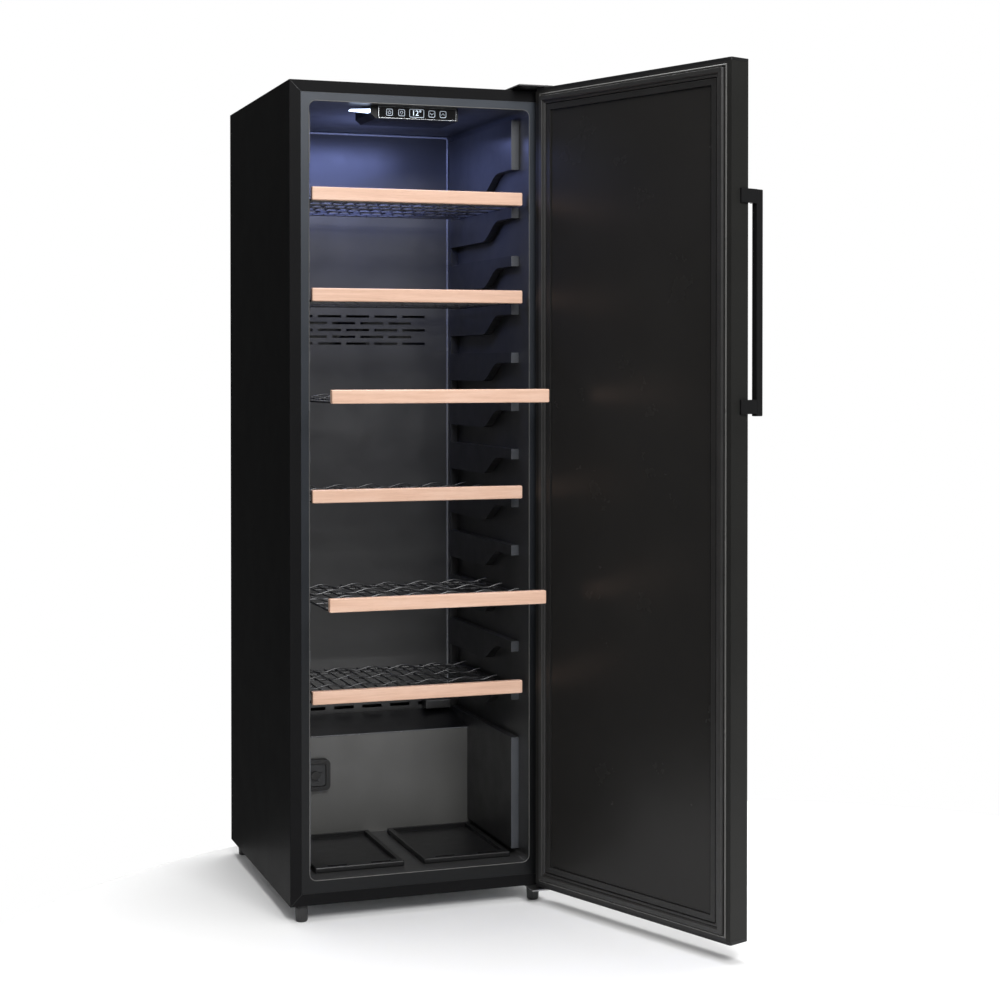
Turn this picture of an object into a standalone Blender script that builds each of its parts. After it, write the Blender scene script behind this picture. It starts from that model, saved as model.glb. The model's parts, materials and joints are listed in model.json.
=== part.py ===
"""Tall free-standing wine cooler with one hinged door and six sliding shelves.

Metres, +Z up. X runs to the right side of the cabinet and Y to its back. The door
stands open and two of the shelves are pulled out.
"""

import math

import bmesh
import bpy
from mathutils import Matrix, Vector

NAME = "wine_cooler"

# Cabinet
WIDTH = 0.595
DEPTH = 0.644
HEIGHT = 1.794
SHEET = 0.0012  # steel sheet
FIT = 0.0003  # gap left between two pieces that touch
FLANGE = 0.025  # steel front frame round the mouth
RIM = 0.019  # visible front rim of the liner
SILL = 0.029  # the same rim below the mouth
LINER = 0.003  # liner wall
LINER_ROUND = 0.015  # radius of the liner's long corners
CAVITY_DEPTH = 0.593
CORNER_SOFT = 0.0008

# Step in the liner over the machine space
STEP_Y = 0.389
STEP_Z = 0.292
STEP_RISE = 0.0235
FOAM_STEP = 0.047  # foam between that step and the machine space

# Air duct on the back of the cavity
DUCT_Y = 0.540
DUCT_WALL = 0.0025
VENT_Z = 1.2636
VENT_ROWS = 5
VENT_PITCH_Z = 0.0168
VENT_PITCH_X = 0.072
VENT_LENGTH = 0.059
VENT_HEIGHT = 0.006

# Side walls that carry the shelves
RAIL_THICK = 0.018
RAIL_FRONT = 0.068
RAIL_BACK_GAP = 0.005
RIB_REAR = 0.0663  # wall left between two channels, at their backs
RIB_MOUTH = 0.0233  # the same at their mouths
CHANNEL_END = 0.018  # wall left behind a channel
RAMP_START = 0.093  # from the rail's front to the foot of the S curve
RAMP_LENGTH = 0.113

# Shelves
SHELVES = 6
FIRST_SHELF_Z = 0.4335  # underside of the lowest wooden front
TOP_ROOM = 0.214  # from the top shelf to the ceiling
FRONT_SIDE_GAP = 0.010  # clear width beside a shelf, each side
FRONT_HEIGHT = 0.0295
FRONT_THICK = 0.016
FRONT_Y = 0.0148
WIRE = 0.005
RACK_BARS = 9
RACK_CROSSES = 2
SHELF_SPARE = 0.060  # how far a shelf can go in past its usual place
PULLED = {3: 0.172, 1: 0.153}  # shelves standing out, counted up from the lowest

# Door, described shut
DOOR_GAP = 0.010
DOOR_THICK = 0.052
DOOR_ABOVE = 0.002
DOOR_LIFT = 0.004
DOOR_CAP = 0.006
DOOR_ROUND = 0.004
DOOR_LIP = 0.012
DOOR_LINER = 0.0025
DOOR_BORDER = 0.052
DOOR_RIDGE = 0.013  # moulded ridge between the gasket and the inner panel
DOOR_RIDGE_RISE = 0.004
GASKET_IN = 0.019
GASKET_WIDTH = 0.018
GASKET_REST = 0.0008  # left between the gasket and the cabinet
DOOR_OPEN = 111.0  # degrees
PIN_IN = 0.014
PIN_DEPTH = 0.018
PIN_RADIUS = 0.004
PIN_LENGTH = 0.020
BUSH_WALL = 0.003
PIN_PLAY = 0.0003

# Hinges
HINGE_PLATE = 0.0025
HINGE_CRANK = 0.0035
HINGE_REACH = 0.016
HINGE_BACK = 0.055
HINGE_WIDTH = 0.070
COVER_WALL = 0.0015
COVER_SIDE = 0.012
COVER_HIGH = 0.0080

# Handle
HANDLE_DROP = 0.260  # from the top of the cabinet to the handle's top
HANDLE_LENGTH = 0.462
HANDLE_BAR_X = 0.015
HANDLE_BAR_Y = 0.018
HANDLE_STANDOFF = 0.020
BRACKET_PLATE = 0.004
BRACKET_HEIGHT = 0.029
BRACKET_GRIP = 0.027

# Feet
FOOT_HEIGHT = 0.036
FOOT_RADIUS = 0.015
FOOT_INSET_X = 0.029
FOOT_INSET_Y = 0.0165
FOOT_COLLAR = 0.004
STUD_RADIUS = 0.004
STUD_RISE = 0.009

# Controls
PANEL_WIDTH = 0.182
PANEL_HEIGHT = 0.0285
PANEL_THICK = 0.003
PANEL_Y = 0.028
HOUSING_DEPTH = 0.130
HOUSING_WALL = 0.002
HOUSING_END = 0.016
KEY_SIZE = 0.0165
KEY_THICK = 0.0024
KEY_PLACES = {
    "key_power": 0.026,
    "key_light": 0.054,
    "key_down": 0.124,
    "key_up": 0.150,
}
LAMP_WIDTH = 0.045
LAMP_DEPTH = 0.020
LAMP_TOP = 0.008  # below the ceiling, at the lamp's thick end
LAMP_HEIGHT = 0.008
LAMP_TIP = 0.0025

# Machine space
MACHINE_PLATE = 0.002
COMPRESSOR_RADIUS = 0.068
COMPRESSOR_HEIGHT = 0.140
COMPRESSOR_X = 0.160
FAN_RADIUS = 0.052
FAN_HUB = 0.016
FAN_BLADES = 5
TUBE_RADIUS = 0.004

MATERIALS = {
    "black_steel": ((0.016, 0.016, 0.018), 0.42, 0.0),
    "door_steel": ((0.030, 0.030, 0.029), 0.38, 0.0),
    "galvanised": ((0.55, 0.56, 0.57), 0.45, 1.0),
    "foam": ((0.80, 0.72, 0.48), 0.9, 0.0),
    "liner_plastic": ((0.090, 0.098, 0.108), 0.40, 0.0),
    "door_panel": ((0.016, 0.016, 0.016), 0.16, 0.0),
    "gasket_rubber": ((0.075, 0.078, 0.080), 0.70, 0.0),
    "cap_plastic": ((0.022, 0.022, 0.023), 0.50, 0.0),
    "beech": ((0.86, 0.60, 0.40), 0.55, 0.0),
    "wire_black": ((0.020, 0.020, 0.020), 0.35, 0.0),
    "gloss_black": ((0.008, 0.008, 0.009), 0.08, 0.0),
    "key_print": ((0.020, 0.021, 0.023), 0.15, 0.0),
    "lamp_clear": ((0.80, 0.90, 1.00), 0.20, 0.0),
    "filter_plastic": ((0.120, 0.120, 0.125), 0.55, 0.0),
    "handle_black": ((0.012, 0.012, 0.013), 0.34, 0.0),
    "zinc_steel": ((0.60, 0.60, 0.61), 0.35, 1.0),
    "acetal": ((0.80, 0.80, 0.78), 0.45, 0.0),
    "compressor_black": ((0.015, 0.015, 0.015), 0.48, 0.0),
    "copper": ((0.80, 0.42, 0.26), 0.35, 1.0),
    "aluminium": ((0.78, 0.79, 0.80), 0.38, 1.0),
    "tray_plastic": ((0.045, 0.045, 0.047), 0.50, 0.0),
    "foot_plastic": ((0.017, 0.017, 0.018), 0.55, 0.0),
}

OPEN_LEFT = FLANGE + RIM
OPEN_RIGHT = WIDTH - OPEN_LEFT
FRONT_LENGTH = OPEN_RIGHT - OPEN_LEFT - 2 * FRONT_SIDE_GAP
OPEN_BOTTOM = FLANGE + SILL
OPEN_TOP = HEIGHT - FLANGE - RIM
MIDDLE = WIDTH / 2
SHELF_PITCH = (OPEN_TOP - TOP_ROOM - FIRST_SHELF_Z) / (SHELVES - 1)
HANDLE_LOW = HEIGHT - HANDLE_DROP - HANDLE_LENGTH
MACHINE_Y = STEP_Y + FOAM_STEP
MACHINE_Z = STEP_Z - FOAM_STEP
STEP_TOP = STEP_Z + STEP_RISE
DOOR_LOW = DOOR_LIFT
DOOR_HIGH = HEIGHT + DOOR_ABOVE
DOOR_BACK = -DOOR_GAP
DOOR_FACE = -DOOR_GAP - DOOR_THICK
PIN = Vector((WIDTH - PIN_IN, -DOOR_GAP - PIN_DEPTH, 0.0))
LOW = -3.0  # past any edge, for cutters
FAR = 3.0


def empty_scene():
    for item in list(bpy.data.objects):
        bpy.data.objects.remove(item)


empty_scene()
PIECES = bpy.data.collections.new(NAME)
CUTTERS = bpy.data.collections.new("cutters")
bpy.context.scene.collection.children.link(PIECES)
bpy.context.scene.collection.children.link(CUTTERS)


def material(slot, name):
    colour, rough, metal = MATERIALS[slot]
    made = bpy.data.materials.new(name)
    made.use_nodes = True
    shader = made.node_tree.nodes["Principled BSDF"]
    shader.inputs["Base Color"].default_value = (*colour, 1.0)
    shader.inputs["Roughness"].default_value = rough
    shader.inputs["Metallic"].default_value = metal
    return made


class Body:
    """A rigid body: an empty at home, on the axis that the body moves about."""

    def __init__(self, name, home=(0.0, 0.0, 0.0), parent=None):
        self.home = Vector(home)
        self.empty = bpy.data.objects.new(name, None)
        PIECES.objects.link(self.empty)
        if parent:
            self.empty.parent = parent.empty
            self.empty.location = self.home - parent.home


def place(made, body, at, slot=None, turn=(0.0, 0.0, 0.0)):
    """Put an object into its body, or among the cutters if it has no material."""
    made.location = Vector(at) - body.home
    made.rotation_euler = turn
    made.parent = body.empty
    if slot:
        PIECES.objects.link(made)
        made.data.materials.clear()
        made.data.materials.append(material(slot, made.name))
    else:
        CUTTERS.objects.link(made)
        made.hide_render = True
        made.display_type = "WIRE"
    return made


def soften(made, width, steps=2):
    bevel = made.modifiers.new("soft edges", "BEVEL")
    bevel.width = width
    bevel.segments = steps
    bevel.limit_method = "ANGLE"
    return made


def combine(made, other, operation):
    change = made.modifiers.new(operation.lower(), "BOOLEAN")
    change.operation = operation
    change.solver = "EXACT"
    change.object = other


def cut(made, *others):
    for other in others:
        combine(made, other, "DIFFERENCE")
    return made


def add(made, *others):
    for other in others:
        combine(made, other, "UNION")
    return made


def shape(name, bm, smooth=False):
    bmesh.ops.recalc_face_normals(bm, faces=bm.faces)
    for face in bm.faces:
        face.smooth = smooth
    mesh = bpy.data.meshes.new(name)
    bm.to_mesh(mesh)
    bm.free()
    return bpy.data.objects.new(name, mesh)


def blocks(body, name, spans, slot=None):
    """Separate boxes in one object, each given by its lowest and highest corners."""
    first = (Vector(spans[0][0]) + Vector(spans[0][1])) / 2
    bm = bmesh.new()
    for low, high in spans:
        centre = (Vector(low) + Vector(high)) / 2
        size = Vector(high) - Vector(low)
        there = Matrix.Translation(centre - first) @ Matrix.Diagonal((*size, 1.0))
        bmesh.ops.create_cube(bm, size=1.0, matrix=there)
    return place(shape(name, bm), body, first, slot)


def block(body, name, low, high, slot=None):
    return blocks(body, name, [(low, high)], slot)


AXES = {
    "X": Matrix.Rotation(math.pi / 2, 4, "Y"),
    "Y": Matrix.Rotation(-math.pi / 2, 4, "X"),
    "Z": Matrix.Identity(4),
}


def round_bar(body, name, at, radius, length, axis="Z", slot=None, sides=24):
    """A cylinder that starts at a point and runs along an axis."""
    bm = bmesh.new()
    bmesh.ops.create_cone(
        bm,
        cap_ends=True,
        segments=sides,
        radius1=radius,
        radius2=radius,
        depth=length,
        matrix=AXES[axis] @ Matrix.Translation((0, 0, length / 2)),
    )
    return place(shape(name, bm, smooth=True), body, at, slot)


def turned(body, name, at, profile, axis="Z", slot=None, sides=24):
    """A turned piece: (radius, height) points from axis to axis, spun about the axis."""
    bm = bmesh.new()
    line = [bm.verts.new((radius, 0.0, height)) for radius, height in profile]
    edges = [bm.edges.new(pair) for pair in zip(line, line[1:])]
    bmesh.ops.spin(
        bm,
        geom=line + edges,
        axis=(0, 0, 1),
        cent=(0, 0, 0),
        angle=2 * math.pi,
        steps=sides,
        use_merge=True,
    )
    bmesh.ops.remove_doubles(bm, verts=bm.verts, dist=1e-6)
    bmesh.ops.transform(bm, matrix=AXES[axis], verts=bm.verts)
    return place(shape(name, bm, smooth=True), body, at, slot)


TURNS = {
    "X": (math.pi / 2, 0.0, math.pi / 2),  # outline in Y and Z
    "Y": (math.pi / 2, 0.0, 0.0),  # outline in X and Z
    "Z": (0.0, 0.0, 0.0),  # outline in X and Y
}


def from_curve(name, curve):
    """The closed mesh of a curve."""
    holder = bpy.data.objects.new(name, curve)
    bpy.context.scene.collection.objects.link(holder)
    graph = bpy.context.evaluated_depsgraph_get()
    mesh = bpy.data.meshes.new_from_object(holder.evaluated_get(graph))
    bpy.data.objects.remove(holder)
    bm = bmesh.new()
    bm.from_mesh(mesh)
    bmesh.ops.remove_doubles(bm, verts=bm.verts, dist=1e-6)
    return bm


def flat(body, name, loops, start, stop, axis, slot=None):
    """Flat outlines, the first one round the outside, given depth along an axis."""
    curve = bpy.data.curves.new(name, "CURVE")
    curve.dimensions = "2D"
    curve.fill_mode = "BOTH"
    curve.extrude = (stop - start) / 2
    for loop in loops:
        spline = curve.splines.new("POLY")
        spline.points.add(len(loop) - 1)
        for point, (across, up) in zip(spline.points, loop):
            point.co = (across, up, 0.0, 1.0)
        spline.use_cyclic_u = True
    bm = from_curve(name, curve)
    middle = (start + stop) / 2
    at = {"X": (middle, 0, 0), "Y": (0, middle, 0), "Z": (0, 0, middle)}[axis]
    return place(shape(name, bm), body, at, slot, TURNS[axis])


def rectangle(low, high):
    return [low, (high[0], low[1]), high, (low[0], high[1])]


def rounded(low, high, radius, steps=5):
    """A rectangle's outline with round corners."""
    corners = [
        (high[0] - radius, high[1] - radius, 0),
        (low[0] + radius, high[1] - radius, 1),
        (low[0] + radius, low[1] + radius, 2),
        (high[0] - radius, low[1] + radius, 3),
    ]
    points = []
    for x, y, quarter in corners:
        for step in range(steps + 1):
            angle = (quarter + step / steps) * math.pi / 2
            points.append((x + radius * math.cos(angle), y + radius * math.sin(angle)))
    return points


def tube(body, name, path, radius, slot, sides=2):
    """A round tube with closed ends along straight runs between points."""
    curve = bpy.data.curves.new(name, "CURVE")
    curve.dimensions = "3D"
    curve.bevel_depth = radius
    curve.bevel_resolution = sides
    curve.use_fill_caps = True
    spline = curve.splines.new("POLY")
    spline.points.add(len(path) - 1)
    for point, where in zip(spline.points, path):
        point.co = (*where, 1.0)
    return place(shape(name, from_curve(name, curve), smooth=True), body, body.home, slot)


def serpentine(left, right, low, high, y, passes, bend_steps=6):
    """A tube's path to and fro between left and right, rising from low to high."""
    rise = (high - low) / (passes - 1)
    radius = rise / 2
    path = []
    for row in range(passes):
        z = low + row * rise
        ends = [left + radius, right - radius]
        if row % 2:
            ends.reverse()
        path += [(x, y, z) for x in ends]
        if row < passes - 1:
            side = 1 if row % 2 == 0 else -1
            for step in range(1, bend_steps):
                angle = math.pi * step / bend_steps
                x = ends[1] + side * radius * math.sin(angle)
                path.append((x, y, z + radius - radius * math.cos(angle)))
    return path


# ---------------------------------------------------------------- cabinet

CABINET = Body("cabinet_frame")


def build_shell():
    shell = block(CABINET, "outer_shell", (0, 0, 0), (WIDTH, DEPTH, HEIGHT), "black_steel")
    soften(shell, CORNER_SOFT)
    hollow = block(
        CABINET,
        "shell_hollow",
        (SHEET, SHEET, LOW),
        (WIDTH - SHEET, FAR, HEIGHT - SHEET),
    )
    mouth = block(
        CABINET,
        "shell_mouth",
        (FLANGE, LOW, FLANGE),
        (WIDTH - FLANGE, DEPTH / 2, HEIGHT - FLANGE),
    )
    cut(shell, hollow, mouth)


def step_outline(inset):
    """The step over the machine space, seen from the side, inset from its surface."""
    front = STEP_Y + inset
    return [
        (front, LOW),
        (FAR, LOW),
        (FAR, STEP_TOP - inset),
        (DUCT_Y, STEP_TOP - inset),
        (front, STEP_Z - inset),
    ]


def tub(name, grow, front, slot=None):
    """The liner's box, seen as a rounded outline, grown from its inner surface."""
    outline = rounded(
        (OPEN_LEFT - grow, OPEN_BOTTOM - grow),
        (OPEN_RIGHT + grow, OPEN_TOP + grow),
        LINER_ROUND + grow,
    )
    return flat(CABINET, name, [outline], front, CAVITY_DEPTH + grow, "Y", slot)


def step_block(name, inset):
    return flat(CABINET, name, [step_outline(inset)], LOW, FAR, "X")


def build_liner():
    liner = tub("inner_liner", LINER, FIT, "liner_plastic")
    rim = block(
        CABINET,
        "liner_rim",
        (FLANGE + FIT, FIT, FLANGE + FIT),
        (WIDTH - FLANGE - FIT, FIT + LINER, HEIGHT - FLANGE - FIT),
    )
    add(liner, rim)
    cut(liner, step_block("liner_step_outside", LINER))
    cavity = tub("liner_cavity", 0.0, LOW)
    cut(cavity, step_block("liner_step_inside", 0.0))
    cut(liner, cavity)


def build_foam():
    inside = SHEET + FIT
    foam = block(
        CABINET,
        "insulation_foam",
        (inside, 2 * FIT + LINER, inside),
        (WIDTH - inside, DEPTH - inside, HEIGHT - inside),
        "foam",
    )
    hole = tub("foam_hole", LINER + FIT, LOW)
    cut(hole, step_block("foam_step", LINER + FIT))
    machine = block(
        CABINET,
        "foam_machine_space",
        (LOW, MACHINE_Y - FIT, LOW),
        (FAR, FAR, MACHINE_Z + FIT),
    )
    cut(foam, hole, machine)
    for x in (FOOT_INSET_X, WIDTH - FOOT_INSET_X):
        pocket = round_bar(
            CABINET,
            "foam_stud_pocket",
            (x, FOOT_INSET_Y, LOW),
            STUD_RADIUS + 2 * FIT,
            STUD_RISE + FIT - LOW,
            sides=16,
        )
        cut(foam, pocket)


def stud_hole(x, y):
    return round_bar(
        CABINET, "stud_hole", (x, y, LOW), STUD_RADIUS + FIT, 2 * FAR, sides=16
    )


def build_base():
    left = SHEET + FIT
    front = SHEET + FIT
    back = DEPTH - SHEET - FIT
    outline = [
        (front, 0.0),
        (MACHINE_Y + SHEET, 0.0),
        (MACHINE_Y + SHEET, MACHINE_Z - SHEET),
        (back, MACHINE_Z - SHEET),
        (back, MACHINE_Z),
        (MACHINE_Y, MACHINE_Z),
        (MACHINE_Y, SHEET),
        (front, SHEET),
    ]
    pan = flat(CABINET, "base_pan", [outline], left, WIDTH - left, "X", "galvanised")
    plate = block(
        CABINET,
        "compressor_plate",
        (left, MACHINE_Y + SHEET + FIT, 0.0),
        (WIDTH - left, DEPTH, MACHINE_PLATE),
        "galvanised",
    )
    for x in (FOOT_INSET_X, WIDTH - FOOT_INSET_X):
        cut(pan, stud_hole(x, FOOT_INSET_Y))
        cut(plate, stud_hole(x, DEPTH - FOOT_INSET_Y))
    block(
        CABINET,
        "back_panel",
        (left, DEPTH - SHEET, MACHINE_Z + FIT),
        (WIDTH - left, DEPTH, HEIGHT - SHEET - FIT),
        "galvanised",
    )


def build_machine_cover():
    left = SHEET + FIT
    cover = block(
        CABINET,
        "machine_cover",
        (left, DEPTH - SHEET, MACHINE_PLATE + FIT),
        (WIDTH - left, DEPTH, MACHINE_Z - FIT),
        "black_steel",
    )
    slots = []
    slot_pitch = 0.024
    count = 16
    first = MIDDLE - slot_pitch * (count - 1) / 2
    for index in range(count):
        x = first + index * slot_pitch
        slots.append(((x - 0.004, DEPTH / 2, 0.075), (x + 0.004, FAR, 0.205)))
    cut(cover, blocks(CABINET, "cover_slots", slots))
    gland_x = WIDTH - 0.060
    gland_z = 0.042
    gland_hole = round_bar(
        CABINET, "gland_hole", (gland_x, DEPTH / 2, gland_z), 0.0065 + FIT, 1.0, "Y"
    )
    cut(cover, gland_hole)
    profile = [
        (0.0, -0.012),
        (0.0065, -0.012),
        (0.0065, 0.0015),
        (0.0100, 0.0015),
        (0.0100, 0.0050),
        (0.0070, 0.0120),
        (0.0045, 0.0140),
        (0.0045, 0.0040),
        (0.0, 0.0040),
    ]
    gland_at = (gland_x, DEPTH, gland_z)
    turned(CABINET, "cable_gland", gland_at, profile, "Y", "foot_plastic", 18)


# ---------------------------------------------------------------- side rails

CHANNELS = 2 * SHELVES  # one for each shelf and one half a pitch below it
FIRST_CHANNEL_Z = FIRST_SHELF_Z - SHELF_PITCH / 2
CHANNEL_PITCH = SHELF_PITCH / 2
RAIL_BACK = DUCT_Y - RAIL_BACK_GAP
RAMP_FOOT = RAIL_FRONT + RAMP_START
RAMP_STEPS = 7


def channel_outline(floor):
    """A channel from its mouth to its end and back: a flat floor, and a roof that
    rises to the mouth in an S."""
    end = RAIL_BACK - CHANNEL_END
    rear = floor + CHANNEL_PITCH - RIB_REAR
    points = [(RAIL_FRONT, floor), (end, floor), (end, rear)]
    for step in range(RAMP_STEPS + 1):
        part = step / RAMP_STEPS
        y = RAMP_FOOT + RAMP_LENGTH * (1 - part)
        z = rear + (RIB_REAR - RIB_MOUTH) * part * part * (3 - 2 * part)
        points.append((y, z))
    points.append((RAIL_FRONT, floor + CHANNEL_PITCH - RIB_MOUTH))
    return points


def build_rails():
    low = OPEN_BOTTOM + LINER_ROUND
    high = OPEN_TOP - LINER_ROUND
    step_y = STEP_Y - 2 * FIT
    slope = STEP_RISE / (DUCT_Y - STEP_Y)
    step_z = STEP_Z + 2 * FIT
    outline = [
        (RAIL_FRONT, low),
        (step_y, low),
        (step_y, step_z),
        (RAIL_BACK, step_z + slope * (RAIL_BACK - step_y)),
        (RAIL_BACK, high),
        (RAIL_FRONT, high),
    ]
    for index in reversed(range(CHANNELS)):
        floor = FIRST_CHANNEL_Z + index * CHANNEL_PITCH
        outline += list(reversed(channel_outline(floor)))
    for side, name in ((0, "shelf_rails_left"), (1, "shelf_rails_right")):
        start = OPEN_LEFT + FIT
        if side:
            start = OPEN_RIGHT - FIT - RAIL_THICK
        flat(
            CABINET, name, [outline], start, start + RAIL_THICK, "X", "liner_plastic"
        )


# ---------------------------------------------------------------- air duct


def duct_outline(inset):
    """The duct cover from the front: a square foot, and upper corners that follow the liner."""
    side = 2 * FIT + inset
    low = STEP_TOP + FIT + inset
    outline = rounded(
        (OPEN_LEFT + side, low - 2 * LINER_ROUND),
        (OPEN_RIGHT - side, OPEN_TOP - side),
        LINER_ROUND - side,
    )
    upper = outline[: len(outline) // 2]
    return upper + [(OPEN_LEFT + side, low), (OPEN_RIGHT - side, low)]


def build_duct():
    low = STEP_TOP + FIT
    back = CAVITY_DEPTH - FIT
    cover = flat(
        CABINET, "air_duct_cover", [duct_outline(0.0)], DUCT_Y, back, "Y", "liner_plastic"
    )
    hollow = flat(
        CABINET, "duct_hollow", [duct_outline(DUCT_WALL)], DUCT_Y + DUCT_WALL, FAR, "Y"
    )
    slots = []
    for row in range(VENT_ROWS):
        z = VENT_Z + (row - (VENT_ROWS - 1) / 2) * VENT_PITCH_Z
        count = 5 if row % 2 == 0 else 4
        for index in range(count):
            x = MIDDLE + (index - (count - 1) / 2) * VENT_PITCH_X
            slots.append(
                (
                    (x - VENT_LENGTH / 2, DEPTH / 3, z - VENT_HEIGHT / 2),
                    (x + VENT_LENGTH / 2, DUCT_Y + 2 * DUCT_WALL, z + VENT_HEIGHT / 2),
                )
            )
    for index in range(6):
        x = MIDDLE + (index - 2.5) * VENT_PITCH_X
        z = low + 0.014
        slots.append(((x - 0.025, DEPTH / 3, z - 0.004), (x + 0.025, DUCT_Y + 0.005, z + 0.004)))
    cut(cover, hollow, blocks(CABINET, "duct_slots", slots))
    path = serpentine(0.095, 0.500, 0.70, 1.12, (DUCT_Y + CAVITY_DEPTH) / 2, 9)
    tube(CABINET, "evaporator_coil", path, TUBE_RADIUS, "aluminium")
    motor = turned(
        CABINET,
        "fan_motor",
        (MIDDLE, CAVITY_DEPTH - FIT, VENT_Z),
        [
            (0.0, 0.0),
            (0.030, 0.0),
            (0.030, 0.004),
            (0.021, 0.004),
            (0.021, 0.018),
            (0.017, 0.021),
            (0.0, 0.021),
        ],
        "Y",
        "compressor_black",
    )
    motor.rotation_euler = (0.0, 0.0, math.pi)
    shaft = round_bar(
        CABINET,
        "motor_shaft",
        (MIDDLE, CAVITY_DEPTH - 0.036, VENT_Z),
        0.0020,
        0.020,
        "Y",
        sides=12,
    )
    add(motor, shaft)


def build_fan():
    body = Body("fan_axis", (MIDDLE, DUCT_Y + 0.0185, VENT_Z), CABINET)
    hub_length = 0.012
    front = body.home.y - hub_length / 2
    hub = round_bar(
        body,
        "fan_blade",
        (MIDDLE, front, VENT_Z),
        FAN_HUB,
        hub_length,
        "Y",
        "tray_plastic",
    )
    for index in range(FAN_BLADES):
        blade = block(
            body,
            "fan_vane",
            (MIDDLE + FAN_HUB / 2, body.home.y - 0.0008, VENT_Z - 0.014),
            (MIDDLE + FAN_RADIUS, body.home.y + 0.0008, VENT_Z + 0.014),
        )
        middle = blade.location.copy()
        turn = Matrix.Rotation(2 * math.pi * index / FAN_BLADES, 4, "Y")
        pitch = Matrix.Rotation(math.radians(20), 4, "X")
        blade.matrix_local = turn @ Matrix.Translation(middle) @ pitch
        add(hub, blade)
    bore = round_bar(
        body, "fan_bore", (MIDDLE, LOW, VENT_Z), 0.0020 + FIT, 2 * FAR, "Y", sides=12
    )
    cut(hub, bore)


# ---------------------------------------------------------------- controls


def build_controls():
    ceiling = OPEN_TOP
    low = ceiling - PANEL_HEIGHT
    left = MIDDLE - PANEL_WIDTH / 2
    right = MIDDLE + PANEL_WIDTH / 2
    front = PANEL_Y + PANEL_THICK + FIT
    outline = [
        (left - HOUSING_END, ceiling - FIT),
        (left - HOUSING_END, ceiling - PANEL_HEIGHT / 2 - LAMP_HEIGHT / 2),
        (left - HOUSING_END / 4, low),
        (right + HOUSING_END / 4, low),
        (right + HOUSING_END / 4, ceiling - FIT),
    ]
    back = front + HOUSING_DEPTH
    housing = flat(CABINET, "control_housing", [outline], front, back, "Y", "cap_plastic")
    hollow = block(
        CABINET,
        "housing_hollow",
        (left, front + HOUSING_WALL + 0.004, low + HOUSING_WALL),
        (right - HOUSING_WALL, front + HOUSING_DEPTH - HOUSING_WALL, FAR),
    )
    cut(housing, hollow)
    panel = block(
        CABINET,
        "control_panel",
        (left, PANEL_Y, low),
        (right, PANEL_Y + PANEL_THICK, ceiling - FIT),
        "gloss_black",
    )
    middle_z = low + PANEL_HEIGHT / 2
    half = KEY_SIZE / 2
    for name, offset in KEY_PLACES.items():
        x = left + offset
        key = Body(name + "_seat", (x, PANEL_Y, middle_z), CABINET)
        hole = block(
            CABINET,
            name + "_hole",
            (x - half - FIT, LOW, middle_z - half - FIT),
            (x + half + FIT, FAR, middle_z + half + FIT),
        )
        cut(panel, hole)
        cap = block(
            key,
            name,
            (x - half, PANEL_Y - 0.0004, middle_z - half),
            (x + half, PANEL_Y - 0.0004 + KEY_THICK, middle_z + half),
            "key_print",
        )
        soften(cap, 0.0003, 1)
    lamp_right = left - HOUSING_END - FIT
    lamp_left = lamp_right - LAMP_WIDTH
    lamp_middle = ceiling - LAMP_TOP - LAMP_HEIGHT / 2
    wedge = [
        (lamp_left, lamp_middle - LAMP_TIP / 2),
        (lamp_right, lamp_middle - LAMP_HEIGHT / 2),
        (lamp_right, lamp_middle + LAMP_HEIGHT / 2),
        (lamp_left, lamp_middle + LAMP_TIP / 2),
    ]
    lens = flat(
        CABINET, "lamp_lens", [wedge], front, front + LAMP_DEPTH, "Y", "lamp_clear"
    )
    soften(lens, 0.0005, 1)


def build_filter():
    x = 0.148
    z = 0.2015
    half = 0.037
    front = STEP_Y - FIT
    ring = flat(
        CABINET,
        "carbon_filter",
        [rounded((x - half, z - half), (x + half, z + half), 0.012)],
        front - 0.014,
        front,
        "Y",
        "filter_plastic",
    )
    dish = flat(
        CABINET,
        "filter_dish",
        [rounded((x - 0.027, z - 0.027), (x + 0.027, z + 0.027), 0.006)],
        LOW,
        front - 0.009,
        "Y",
    )
    knob = round_bar(CABINET, "filter_knob", (x, front - 0.018, z), 0.010, 0.012, "Y")
    cut(ring, dish)
    add(ring, knob)
    sensor = block(
        CABINET,
        "sensor_housing",
        (0.463, DUCT_Y - 0.034, STEP_TOP + 0.004),
        (0.529, DUCT_Y - FIT, STEP_TOP + 0.026),
        "liner_plastic",
    )
    soften(sensor, 0.003)


def build_trays():
    width = 0.205
    gap = 0.046
    front = 0.055
    back = 0.362
    floor = OPEN_BOTTOM + FIT
    for name, left in (
        ("bottle_tray_left", MIDDLE - gap / 2 - width),
        ("bottle_tray_right", MIDDLE + gap / 2),
    ):
        tray = block(
            CABINET,
            name,
            (left, front, floor),
            (left + width, back, floor + 0.012),
            "tray_plastic",
        )
        soften(tray, 0.0025)
        dish = block(
            CABINET,
            name + "_dish",
            (left + 0.012, front + 0.022, floor + 0.0035),
            (left + width - 0.012, back - 0.012, FAR),
        )
        slots = []
        for offset in (0.030, 0.130):
            slots.append(
                (
                    (left + offset, front + 0.006, LOW),
                    (left + offset + 0.045, front + 0.014, FAR),
                )
            )
        cut(tray, dish, blocks(CABINET, name + "_slots", slots))


# ---------------------------------------------------------------- machine space


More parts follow.
